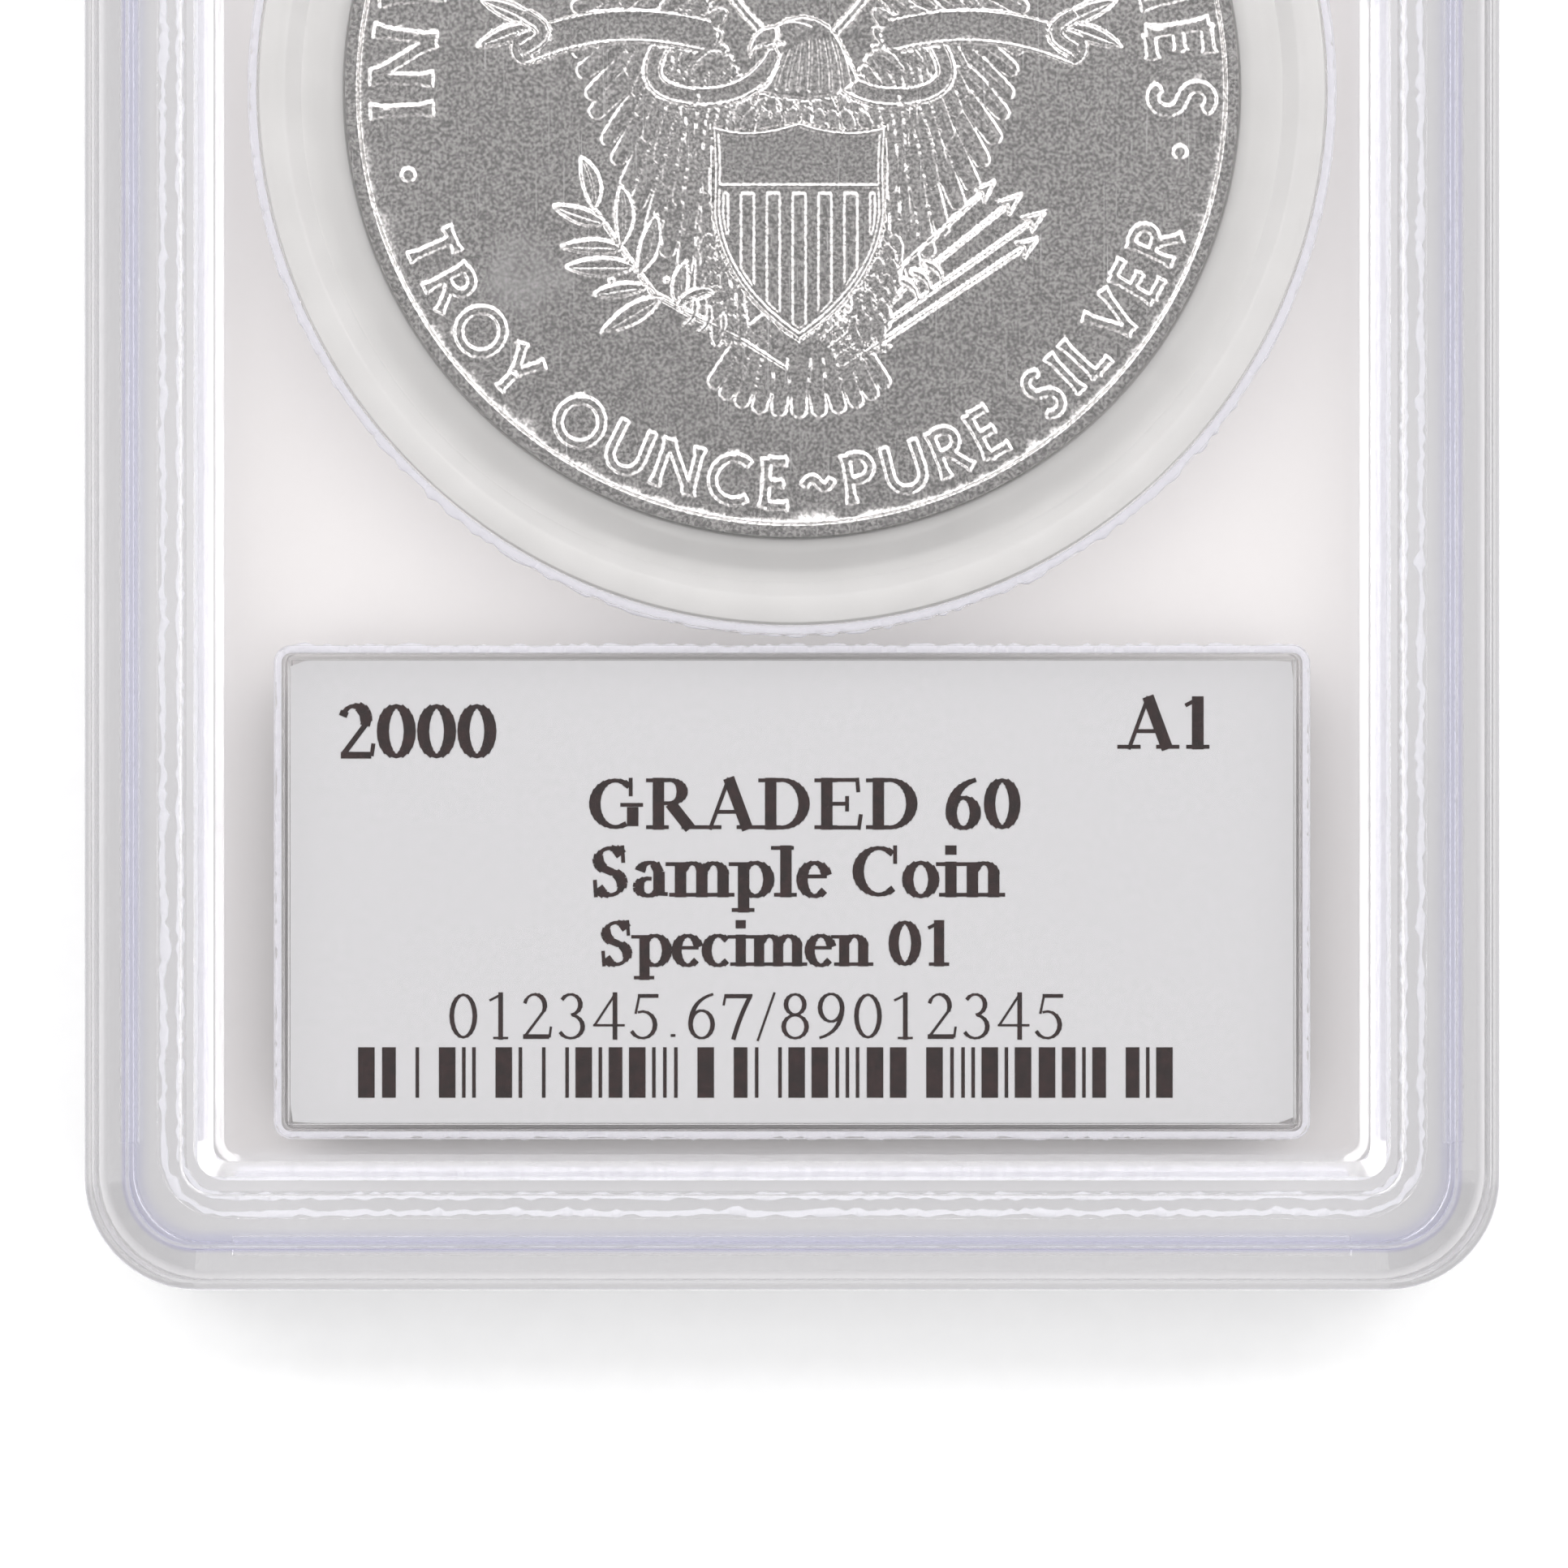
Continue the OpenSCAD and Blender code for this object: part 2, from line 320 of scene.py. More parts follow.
def struck_silver():
    """Fine silver, struck with blasted dies: a grainy grey field with faint handling marks, and
    edges that catch the light."""
    material, tree = new_material("struck_silver")
    place = add(tree, "TexCoord").outputs["Object"]
    blast = noise(tree, 0.15, 2.0)
    cloud = noise(tree, 5, 4.0)
    tone = shades(tree, blast, [(0.38, "#b0b0af"), (0.62, "#f4f3f2")])

    # Hairline scratches: noise drawn out long and thin, kept only where it peaks
    for turn, length in ((35, 4.0), (-50, 3.0)):
        drawn = add(tree, "Mapping", {
            "Rotation": (0, 0, math.radians(turn)),
            "Scale": (1 / (0.06 * MM), 1 / (length * MM), 1 / (2 * MM)),
        }, {"Vector": place})
        streak = add(tree, "TexNoise", {"Scale": 1.0, "Detail": 0.0}, {"Vector": drawn.outputs["Vector"]})
        tone = whitened(tree, tone, remap(tree, streak.outputs["Fac"], 0.79, 0.84))

    # A pale smear where the field was touched
    field = JOINT + 1.2
    for x, y in ((-12.4, COIN_Y - 8.3), (-10.6, COIN_Y - 9.6)):
        spot = (x * MM, y * MM, field * MM)
        near = reckon_vector(tree, "DISTANCE", place, spot, result="Value")
        fade = remap(tree, near, 2.2 * MM, 0.8 * MM)
        patch = remap(tree, cloud, 0.46, 0.56, 0.0, 0.5)
        tone = whitened(tree, tone, reckon(tree, "MULTIPLY", fade, patch))
    solid(tree, add(tree, "BsdfPrincipled", {
        "Metallic": 1.0,
        "Roughness": 0.27,
    }, {"Base Color": tone, "Normal": bumps(tree, blast, 0.3, 0.01)}))
    return material


def coated_card():
    """Coated white card: smooth, faintly blue from its whitener, with a dull sheen."""
    material, tree = new_material("coated_card")
    solid(tree, add(tree, "BsdfPrincipled", {
        "Roughness": 0.6,
    }, {"Base Color": shades(tree, noise(tree, 0.35, 5.0), [(0.3, "#f6f7f9"), (0.7, "#fbfbfe")])}))
    return material


def printing_ink():
    """Thermal-transfer ink on coated card: a dull brownish black, thin in places."""
    material, tree = new_material("printing_ink")
    solid(tree, add(tree, "BsdfPrincipled", {
        "Roughness": 0.6,
        "Specular IOR Level": 0.15,
    }, {"Base Color": shades(tree, noise(tree, 0.5, 4.0), [(0.35, "#160a0a"), (0.75, "#2e1a1a")])}))
    return material


def melted_plastic():
    """Clear plastic, melted and set again under the welding horn: frosty and lumpy."""
    material, tree = new_material("melted_plastic")
    body = add(tree, "BsdfPrincipled", {
        "Base Color": linear("#efeff4"),
        "Roughness": 0.35,
        "IOR": 1.49,
        "Transmission Weight": 0.45,
    }, {"Normal": bumps(tree, noise(tree, 0.3, 3.0), 0.8, 0.05)})
    let_light_through(tree, body, "#f4f4f8")
    return material


def studio_paper():
    """White background paper: matt and even."""
    material, tree = new_material("studio_paper")
    solid(tree, add(tree, "BsdfPrincipled", {
        "Roughness": 0.9,
        "Specular IOR Level": 0.1,
    }, {"Base Color": shades(tree, noise(tree, 1.5, 3.0), [(0.3, "#e6e6e6"), (0.7, "#e8e8e8")])}))
    return material


# ---------------------------------------------------------------- paths and outlines
def arc(centre, radii, start, stop, steps=12):
    """Points along an elliptical arc; angles in degrees, anticlockwise when they grow."""
    turns = np.radians(np.linspace(start, stop, steps + 1))
    return [(centre[0] + radii[0] * math.cos(a), centre[1] + radii[1] * math.sin(a)) for a in turns]


def bend(root, middle, tip, steps=8):
    """Points along the curve that leaves root and reaches tip, pulled towards middle."""
    t = np.linspace(0, 1, steps + 1)[:, None]
    root, middle, tip = (np.array(p, float) for p in (root, middle, tip))
    return (1 - t) ** 2 * root + 2 * t * (1 - t) * middle + t ** 2 * tip


def smooth(t):
    """0 to 1 with soft ends."""
    t = np.clip(t, 0, 1)
    return t * t * (3 - 2 * t)


# ---------------------------------------------------------------- coin die
DIE_STEP = 0.065  # between the spots of the height field
DIE_CELLS = 640  # along each side of it
BIRD_SHIFT = 5  # in steps, to the right
BIRD_DEPTH = 0.7  # as a share of the depth that its parts are drawn with
GROOVE = 0.07  # half width of a carved line
rows = (np.arange(DIE_CELLS + 1) - DIE_CELLS / 2) * DIE_STEP


class Die:
    """Heights in millimetres over the coin's field, which shapes are cut into."""

    def __init__(self):
        self.height = np.zeros((DIE_CELLS + 1, DIE_CELLS + 1))

    def window(self, low, high):
        """The part of the field inside a box: its index range and its coordinates."""
        i0, j0 = (max(0, int(v / DIE_STEP + DIE_CELLS / 2)) for v in low)
        i1, j1 = (min(DIE_CELLS, int(v / DIE_STEP + DIE_CELLS / 2) + 2) for v in high)
        part = (slice(j0, j1), slice(i0, i1))
        return part, rows[None, i0:i1], rows[j0:j1, None]

    def along(self, path, widths, square_ends=False):
        """Distance outside a path's band, distance along it and signed distance from its middle."""
        path = np.array(path, float)
        widths = np.broadcast_to(widths, len(path)) if np.ndim(widths) == 0 else np.array(widths, float)
        reach = widths.max() / 2 + 3 * DIE_STEP
        part, x, y = self.window(path.min(0) - reach, path.max(0) + reach)
        shape = (y.shape[0], x.shape[1])
        gap, run, side = np.full(shape, 99.0), np.zeros(shape), np.zeros(shape)
        travelled = 0.0
        for k in range(len(path) - 1):
            a, b, wa, wb = path[k], path[k + 1], widths[k], widths[k + 1]
            step = b - a
            length = math.hypot(*step) or 1e-9
            free = ((x - a[0]) * step[0] + (y - a[1]) * step[1]) / length ** 2
            t = np.clip(free, 0, 1)
            dx, dy = x - a[0] - t * step[0], y - a[1] - t * step[1]
            here = np.hypot(dx, dy) - (wa + (wb - wa) * t) / 2
            if square_ends and k == 0:
                here = np.maximum(here, -free * length)
            if square_ends and k == len(path) - 2:
                here = np.maximum(here, (free - 1) * length)
            nearer = here < gap
            gap = np.where(nearer, here, gap)
            run = np.where(nearer, travelled + t * length, run)
            side = np.where(nearer, ((x - a[0]) * step[1] - (y - a[1]) * step[0]) / length, side)
            travelled += length
        return part, gap, run, side

    def raise_band(self, path, widths, height, bevel=0.12, level=0.0, square_ends=False):
        """A raised band with a flat top and sloping sides."""
        part, gap, _, _ = self.along(path, widths, square_ends)
        lift = level + height * smooth(-gap / bevel)
        self.height[part] = np.where(gap < 0, np.maximum(self.height[part], lift), self.height[part])

    def dot(self, x, y, width, height, bevel):
        """A round bead."""
        self.raise_band([(x, y), (x + 0.001, y)], width, height, bevel)

    def carve(self, path, depth):
        """A fine groove along a path."""
        part, gap, _, _ = self.along(path, 0.0)
        self.height[part] -= depth * np.exp(-(gap / GROOVE) ** 2)

    def feather(self, root, middle, tip, width, level, barb=0.4):
        """A feather laid over what is under it: domed, with a shaft and slanting barbs."""
        path = bend(root, middle, tip)
        t = np.linspace(0, 1, len(path))
        widths = width * (0.62 + 0.38 * np.sin(np.pi * np.minimum(t * 1.05, 1) ** 0.8))
        part, gap, run, side = self.along(path, widths)
        dome = 0.05 * smooth(-gap / 0.075) + 0.02 * np.sqrt(np.clip(-gap / (width * 0.5), 0, 1))
        shaft = 0.018 * np.exp(-(side / 0.06) ** 2)
        barbs = 0.006 * np.cos(2 * np.pi * (run + 1.6 * np.abs(side)) / barb) * (np.abs(side) > 0.07)
        self.height[part] = np.where(gap < 0, level + dome + shaft + barbs, self.height[part])

    def leaf(self, root, middle, tip, width, level=0.02):
        """A pointed leaf with a midrib."""
        path = bend(root, middle, tip, 10)
        widths = width * np.sin(np.pi * np.linspace(0.04, 0.97, len(path))) ** 0.8
        part, gap, _, side = self.along(path, widths)
        lift = level + 0.13 * smooth(-gap / 0.14) - 0.05 * np.exp(-(side / 0.05) ** 2)
        self.height[part] = np.where(gap < 0, lift, self.height[part])

    def plate(self, outline, height, bevel, level=0.0):
        """A raised flat shape with sloping sides. Returns where it is, its coordinates and the
        distance inside its edge."""
        outline = np.array(outline, float)
        margin = 3 * DIE_STEP
        _, gap, _, _ = self.along(np.vstack([outline, outline[:1]]), 0.0)
        part, x, y = self.window(outline.min(0) - margin, outline.max(0) + margin)
        inside = np.zeros(gap.shape, bool)
        for a, b in zip(outline, np.roll(outline, -1, 0)):
            if a[1] == b[1]:
                continue
            cross = a[0] + (y - a[1]) * (b[0] - a[0]) / (b[1] - a[1])
            inside ^= ((a[1] > y) != (b[1] > y)) & (x < cross)
        depth = np.where(inside, gap, -gap)
        lift = level + height * smooth(depth / bevel)
        self.height[part] = np.where(inside, lift, self.height[part])
        return part, x, y, depth


# ---------------------------------------------------------------- legend
# Letters in units of their height: their width, and the paths of their strokes
STROKE = 0.215
STEM = [(0.1, 0), (0.1, 1)]
LETTERS = {
    "C": (0.84, [arc((0.50, 0.5), (0.42, 0.43), 45, 315)]),
    "E": (0.60, [STEM, [(0.1, 0.93), (0.53, 0.93)], [(0.1, 0.5), (0.46, 0.5)], [(0.1, 0.07), (0.55, 0.07)]]),
    "I": (0.22, [[(0.11, 0), (0.11, 1)]]),
    "L": (0.56, [STEM, [(0.1, 0.07), (0.52, 0.07)]]),
    "N": (0.86, [STEM, [(0.1, 0.95), (0.76, 0.05)], [(0.76, 0), (0.76, 1)]]),
    "O": (0.98, [arc((0.49, 0.5), (0.42, 0.43), 0, 360, 24)]),
    "P": (0.62, [STEM, [(0.1, 0.93), (0.3, 0.93), *arc((0.3, 0.7), (0.25, 0.23), 80, -90, 8), (0.1, 0.47)]]),
    "R": (0.68, [STEM, [(0.1, 0.93), (0.3, 0.93), *arc((0.3, 0.71), (0.24, 0.22), 80, -90, 8), (0.1, 0.49)],
                 [(0.3, 0.49), (0.62, 0.02)]]),
    "S": (0.58, [[*arc((0.30, 0.72), (0.19, 0.21), 30, 265, 10),
                  *arc((0.28, 0.27), (0.21, 0.22), 85, -150, 10)]]),
    "T": (0.70, [[(0.35, 0), (0.35, 1)], [(0.04, 0.93), (0.66, 0.93)]]),
    "U": (0.82, [[(0.1, 1), *arc((0.41, 0.38), (0.31, 0.32), 180, 360, 10), (0.72, 1)]]),
    "V": (0.80, [[(0.05, 1), (0.40, 0.03)], [(0.75, 1), (0.40, 0.03)]]),
    "Y": (0.74, [[(0.37, 0), (0.37, 0.46)], [(0.37, 0.46), (0.05, 1)], [(0.37, 0.46), (0.69, 1)]]),
    "~": (0.66, [[*bend((0.04, 0.42), (0.2, 0.72), (0.34, 0.5), 6).tolist(),
                  *bend((0.34, 0.5), (0.48, 0.28), (0.62, 0.58), 6).tolist()[1:]]]),
    " ": (0.36, []),
}
LETTER_LIFT = 0.09
LETTER_BEVEL = 0.13
SERIF = 0.22  # share of a straight stroke over which its ends flare


def strike_legend(die, words, start, stop, size, base_r, inward):
    """Strikes words round the rim, from one angle to another. They are inward when their tops
    face the middle."""
    turn = 1 if inward else -1
    advance = [LETTERS[c][0] for c in words]
    natural = sum(advance) * size
    mid_r = base_r - size / 2 if inward else base_r + size / 2
    room = math.radians(abs(stop - start)) * mid_r
    spread = (room - natural) / (len(words) - 1)
    at = 0.0
    for letter, width in zip(words, advance):
        for path in LETTERS[letter][1]:
            points = []
            for u, v in path:
                angle = math.radians(start) + turn * (at + u * size) / mid_r
                r = base_r - v * size if inward else base_r + v * size
                points.append((r * math.cos(angle), r * math.sin(angle)))
            widths = [STROKE * size] * len(path)
            if len(path) == 2:
                first, last = np.array(points)
                points = [first, first + (last - first) * SERIF, first + (last - first) * (1 - SERIF), last]
                widths = [widths[0] * w for w in (1.4, 0.95, 0.95, 1.4)]
            closed = np.hypot(*(np.array(points[0]) - points[-1])) < 0.01
            die.raise_band(points, widths, LETTER_LIFT, LETTER_BEVEL, square_ends=not closed)
        at += width * size + spread


def strike_beads(die, places, r):
    """Round beads at some angles, at one distance from the middle."""
    for angle in places:
        a = math.radians(angle)
        die.dot(r * math.cos(a), r * math.sin(a), 0.78, 0.09, 0.16)


# ---------------------------------------------------------------- the bird
def mirrored(points, side):
    """Points turned over to one side of the coin's middle line: side is 1 or -1."""
    return [(side * x, y) for x, y in points]


chance = np.random.default_rng(11)


def small_feather(die, root, tip, width, level, barb):
    """A straight feather."""
    die.feather(root, (root + tip) / 2, tip, width, level, barb)


def strike_wing(die, side):
    """One raised wing: long outer feathers first, and shorter rows laid over them."""
    feather_rows = (
        # roots from, to; tips from, pulled to, to; feathers, width, level
        ((-5.2, 10.4), (-3.0, -1.0), (-6.9, 14.0), (-14.4, 3.4), (-4.3, -9.3), 25, 1.25, 0.02),
        ((-5.0, 9.8), (-2.6, -0.5), (-6.2, 12.2), (-10.6, 3.0), (-3.7, -8.2), 22, 1.1, 0.06),
        ((-4.6, 9.4), (-2.4, 0.0), (-5.2, 10.8), (-7.4, 3.0), (-3.3, -6.6), 19, 0.95, 0.10),
    )
    flip = np.array([side, 1.0])
    for root_a, root_b, tip_a, tip_m, tip_b, count, width, level in feather_rows:
        tips = bend(tip_a, tip_m, tip_b, count - 1)
        roots = bend(root_a, (-5.4, 4.0), root_b, count - 1)
        for root, tip in zip(roots, tips):
            tip = tip + chance.uniform(-0.12, 0.12, 2)
            middle = (root + tip) / 2 + np.array([-0.45, 0.6])
            die.feather(root * flip, middle * flip, tip * flip, width * chance.uniform(0.92, 1.08), level)
    for k in range(9):
        for j in range(3):
            spot = np.array([-3.6 - 0.75 * j, 9.6 - 1.0 * k + 0.5 * j]) + chance.uniform(-0.1, 0.1, 2)
            small_feather(die, spot * flip, (spot + (-1.0, -0.75)) * flip, 0.85, 0.13, 0.3)
    shoulder = bend((-5.6, 12.2), (-5.4, 6.4), (-1.6, 2.6), 16) * flip
    die.raise_band(shoulder, 0.5, 0.1, 0.2, 0.14)


def strike_tail(die):
    """A fan of tail feathers under the shield's point."""
    for turn in (-60, 60, -48, 48, -36, 36, -24, 24, -12, 12, 0):
        a = math.radians(turn)
        root = np.array([0.0, -9.6])
        tip = root + np.array([4.4 * math.sin(a), -4.9 * math.cos(a) ** 0.45])
        level = 0.03 + 0.0004 * (60 - abs(turn))
        die.feather(root, (root + tip) / 2 + np.array([0.5 * math.sin(a), 0.3]), tip, 1.15, level)


def strike_legs(die):
    """Feathered thighs beside the shield, and claws that close on what they hold."""
    for side in (-1, 1):
        for k in range(7):
            for j in range(3):
                spot = np.array([side * (3.1 + 0.55 * j - 0.1 * k), -6.6 - 0.62 * k])
                spot += chance.uniform(-0.12, 0.12, 2)
                small_feather(die, spot, spot + (side * 0.15, -1.0), 0.75, 0.08, 0.3)


def strike_claw(die, wrist, reach, toes):
    """Three curled toes across a stem."""
    wrist, reach = np.array(wrist, float), np.array(reach, float)
    across = np.array([-reach[1], reach[0]]) / math.hypot(*reach)
    for k in range(toes):
        start = wrist + reach * k / (toes - 1)
        curl = bend(start + across * 0.6, start - across * 0.1 + reach * 0.35, start - across * 0.6, 6)
        die.raise_band(curl, [0.4, 0.46, 0.44, 0.36, 0.3, 0.2, 0.1], 0.1, 0.18, 0.12)


def strike_branch(die, side):
    """A leafy sprig."""
    stem = [
        (-0.6, -12.6), (-2.8, -11.2), (-5.0, -10.1), (-6.6, -9.2), (-7.6, -7.8), (-8.7, -6.2), (-9.6, -4.9),
    ]
    die.raise_band(mirrored(stem, side), [0.32, 0.32, 0.3, 0.28, 0.25, 0.2, 0.14], 0.13, 0.13, 0.05)
    leaves = (  # foot, pull, tip, width
        ((-5.3, -10.0), (-5.6, -8.8), (-5.1, -7.7), 0.85), ((-5.6, -9.8), (-4.7, -9.0), (-3.8, -9.1), 0.6),
        ((-6.3, -9.4), (-7.3, -10.0), (-9.0, -11.0), 1.0), ((-6.8, -8.9), (-8.2, -9.0), (-9.4, -9.3), 0.75),
        ((-7.3, -8.3), (-6.6, -7.0), (-6.5, -5.6), 1.0), ((-7.5, -8.0), (-8.8, -8.0), (-10.6, -8.0), 1.0),
        ((-8.0, -7.2), (-9.0, -7.0), (-10.9, -7.1), 0.8), ((-8.1, -7.0), (-7.7, -5.6), (-8.1, -4.3), 0.95),
        ((-8.8, -6.0), (-9.7, -5.8), (-11.2, -5.2), 0.85), ((-9.3, -5.3), (-9.2, -4.2), (-9.9, -3.0), 0.95),
    )
    for foot, pull, tip, width in leaves:
        (foot, pull, tip) = mirrored((foot, pull, tip), side)
        die.leaf(foot, pull, tip, width)
    for spot in ((-6.0, -8.6), (-7.0, -9.9), (-8.5, -8.6)):
        die.dot(side * spot[0], spot[1], 0.42, 0.14, 0.2)


def strike_arrows(die, side):
    """A sheaf of arrows: flights behind the shield's point, heads fanned at the far end."""
    for k, (tip_x, tip_y) in enumerate(((9.0, -4.0), (10.2, -4.6), (11.3, -5.4), (11.0, -6.6))):
        low = np.array([side * (1.0 + 0.33 * k), -11.3 - 0.42 * k])
        high = np.array([side * tip_x, tip_y])
        neck = low + (high - low) * 0.9
        die.raise_band([low, neck], 0.24, 0.11, 0.1, 0.05)
        aim = (high - low) / math.hypot(*(high - low))
        off = np.array([-aim[1], aim[0]])
        back = high - aim * 1.35
        die.plate([high, back + off * 0.5, back + aim * 0.35, back - off * 0.5], 0.15, 0.14, 0.03)
        for j in range(5):
            foot = low + aim * (0.25 + 0.4 * j)
            for turn in (1, -1):
                die.raise_band([foot, foot + aim * 0.45 + off * 0.34 * turn], 0.13, 0.07, 0.07, 0.08)


def strike_ribbon(die, side):
    """A plain ribbon from the beak, looped under the wing and flying out to a swallow tail."""
    parts = (  # path, width
        (bend((-1.0, 1.6), (-2.2, -0.6), (-5.0, -0.3), 10), 1.0),
        (bend((-5.0, -0.3), (-7.4, 0.0), (-6.3, 1.9), 10), 0.95),
        (bend((-4.5, 2.5), (-8.6, 3.5), (-12.3, 1.9), 12), 1.6),
        (bend((-12.3, 1.9), (-10.9, 2.6), (-12.3, 3.3), 6), 0.8),
    )
    for pull, tip in (((-13.0, 3.6), (-14.4, 4.1)), ((-13.2, 2.6), (-14.6, 2.0))):
        die.leaf(*mirrored(((-11.9, 3.0), pull, tip), side), 0.85, 0.06)
    for path, width in parts:
        path = np.array(mirrored(path, side))
        part, gap, _, lateral = die.along(path, width)
        edge = 0.06 * np.exp(-((np.abs(lateral) - width / 2 + 0.13) / 0.07) ** 2)
        lift = 0.12 + 0.06 * smooth(-gap / 0.1) + edge
        die.height[part] = np.where(gap < 0, lift, die.height[part])


def strike_breast(die):
    """Small feathers over the neck and breast, down to the shield's top edge."""
    for k in range(6):
        for j in range(-4, 5):
            if abs(j) > 1.4 + 0.65 * k:
                continue
            spot = np.array([0.62 * j + 0.3 * (k % 2) + 0.6 - 0.12 * k, 2.1 - 0.62 * k])
            spot += chance.uniform(-0.13, 0.13, 2)
            small_feather(die, spot, spot + (0.12 * j, -0.95), 0.68, 0.15, 0.28)


def strike_head(die):
    """A hook-beaked head in profile, with long neck feathers."""
    outline = [
        (2.75, 0.4), (2.35, 1.35), (1.95, 2.2), (1.45, 2.9), (0.8, 3.3), (0.1, 3.42), (-0.6, 3.25),
        (-1.1, 2.98), (-1.65, 2.88), (-2.1, 2.5), (-2.32, 1.95), (-2.25, 1.4), (-1.98, 1.75), (-1.6, 1.92),
        (-1.15, 1.85), (-0.98, 1.6), (-1.05, 1.1), (-1.4, 0.45), (-1.95, -0.1), (-0.9, -0.35), (0.4, -0.5),
        (1.8, -0.25),
    ]
    die.plate(outline, 0.16, 0.16, 0.16)
    cere = bend((-1.05, 2.95), (-0.85, 2.4), (-1.1, 1.95), 5)
    mouth = bend((-1.9, 1.95), (-1.3, 2.2), (-0.7, 2.15), 6)
    die.carve(cere, 0.09)
    die.carve(mouth, 0.1)
    die.raise_band(bend((-0.7, 2.98), (-0.1, 3.1), (0.55, 2.8), 6), 0.15, 0.05, 0.06, 0.32)
    die.raise_band(arc((-0.12, 2.58), (0.24, 0.2), 0, 360, 14), 0.11, 0.05, 0.05, 0.3)
    for k in range(9):
        start = (-0.75 + 0.32 * k, 1.75 + 0.17 * k - 0.012 * k * k)
        stop = (-1.55 + 0.5 * k, 0.12 - 0.03 * k)
        middle = ((start[0] + stop[0]) / 2 - 0.16 + 0.05 * k, (start[1] + stop[1]) / 2 + 0.1)
        die.carve(bend(start, middle, stop, 6), 0.055)


def strike_shield(die):
    """A shield with a plain chief and upright bars."""
    half, top, point, shoulder = 4.0, -1.5, -11.4, -5.6
    chief, pitch = -4.35, 1.17  # height of the chief's lower edge, and spacing of the bars
    border, sunk = 0.27, 0.07  # width of the raised border, and depth inside it
    flank = bend((half - 0.05, shoulder), (half - 0.4, -9.0), (0, point), 12).tolist()
    right = [(half, top), (half - 0.1, -3.4), *flank]
    left = mirrored(reversed(right[:-1]), -1)
    crest = [*bend((-half, top), (-2.2, top - 0.65), (0, top + 0.15), 8).tolist()[1:],
             *bend((0, top + 0.15), (2.2, top - 0.65), (half, top), 8).tolist()[1:-1]]
    outline = right + left + crest
    part, x, y, depth = die.plate(outline, 0.2, 0.16, 0.04)
    base = die.height[part]
    inset = smooth((depth - border) / 0.1)
    base -= sunk * inset * (depth > 0)
    wave = np.abs(((x / pitch) % 1) - 0.5) * 2
    under_chief = smooth((chief - 0.28 - y) / 0.08)
    off_edge = smooth((depth - 0.45) / 0.1)
    bars = 0.08 * smooth((wave - 0.4) / 0.2) * under_chief * off_edge
    base += bars * (depth > 0)
    base += 0.07 * smooth((0.1 - np.abs(y - chief)) / 0.08) * inset
    die.height[part] = base


def strike_bird(die):
    """A heraldic bird of prey with spread wings, its lowest parts first."""
    for side in (1, -1):
        strike_wing(die, side)
    strike_tail(die)
    strike_legs(die)
    strike_branch(die, 1)
    strike_arrows(die, 1)
    strike_claw(die, (-5.0, -10.1), (1.3, -0.65), 3)
    strike_claw(die, (5.0, -9.1), (1.1, 0.8), 3)
    strike_breast(die)
    strike_shield(die)
    for side in (1, -1):
        strike_ribbon(die, side)
    strike_head(die)


def reverse_die():
    """The near side's design: the bird, with words round it."""
    die = Die()
    strike_bird(die)
    die.height = BIRD_DEPTH * np.roll(die.height, BIRD_SHIFT, axis=1)
    strike_legend(die, "TROY OUNCE~PURE SILVER", 201, 340, 2.35, 19.0, True)
    strike_legend(die, "INVESTORS SILVER SERIES", 184, -4, 3.0, 16.2, False)
    strike_beads(die, (192.4, -9.0), 17.8)
    return die


# ---------------------------------------------------------------- coin
REEDS = 200
REED_DEPTH = 0.05
FIELD_R = COIN_R - 0.74
RIM_LIFT = 0.3
LARGEST_CELL = 16  # in steps of the height field
RIM_PROFILE = (  # out from the field's edge, up from the field
    (0.03, 0.02), (0.08, 0.15), (0.13, 0.27), (0.17, 0.298),
    (0.2, 0.3), (0.62, 0.3), (0.67, 0.299), (0.69, 0.2),
)


def sunburst_die():
    """The far side's plain design: rays over a low wall of leaves, inside a ring of beads."""
    die = Die()
    for k in range(24):
        turn = math.radians(15 * k)
        reach = 13.5 if k % 2 == 0 else 10.5
        aim = np.array([math.cos(turn), math.sin(turn)])
        die.leaf(aim * 4.5, aim * 8.0, aim * reach, 1.5)
    die.plate(arc((0, 0), (4.2, 4.2), 0, 350, 35), 0.2, 0.5)
    strike_beads(die, range(0, 360, 10), 17.4)
    return die


def sparse_corners(height, tolerance):
    """Which grid corners to keep so that the relief stays true: few on flats, many on slopes."""
    keep = np.zeros(height.shape, bool)
    size = LARGEST_CELL
    active = np.ones((DIE_CELLS // size, DIE_CELLS // size), bool)
    spots = np.arange(DIE_CELLS + 1)
    while True:
        across, up = np.nonzero(active)
        for i in (0, 1):
            for j in (0, 1):
                keep[(across + i) * size, (up + j) * size] = True
        if size == 1:
            return keep
        coarse = height[::size, ::size]
        rows_full = np.array([np.interp(spots, spots[::size], row) for row in coarse])
        full = np.array([np.interp(spots, spots[::size], column) for column in rows_full.T]).T
        miss = np.abs(full - height)
        miss = np.maximum(miss[:-1], miss[1:])
        miss = np.maximum(miss[:, :-1], miss[:, 1:])
        count = DIE_CELLS // size
        worst = miss.reshape(count, size, count, size).max(axis=(1, 3))
        active = np.repeat(np.repeat(active & (worst > tolerance), 2, 0), 2, 1)
        size //= 2


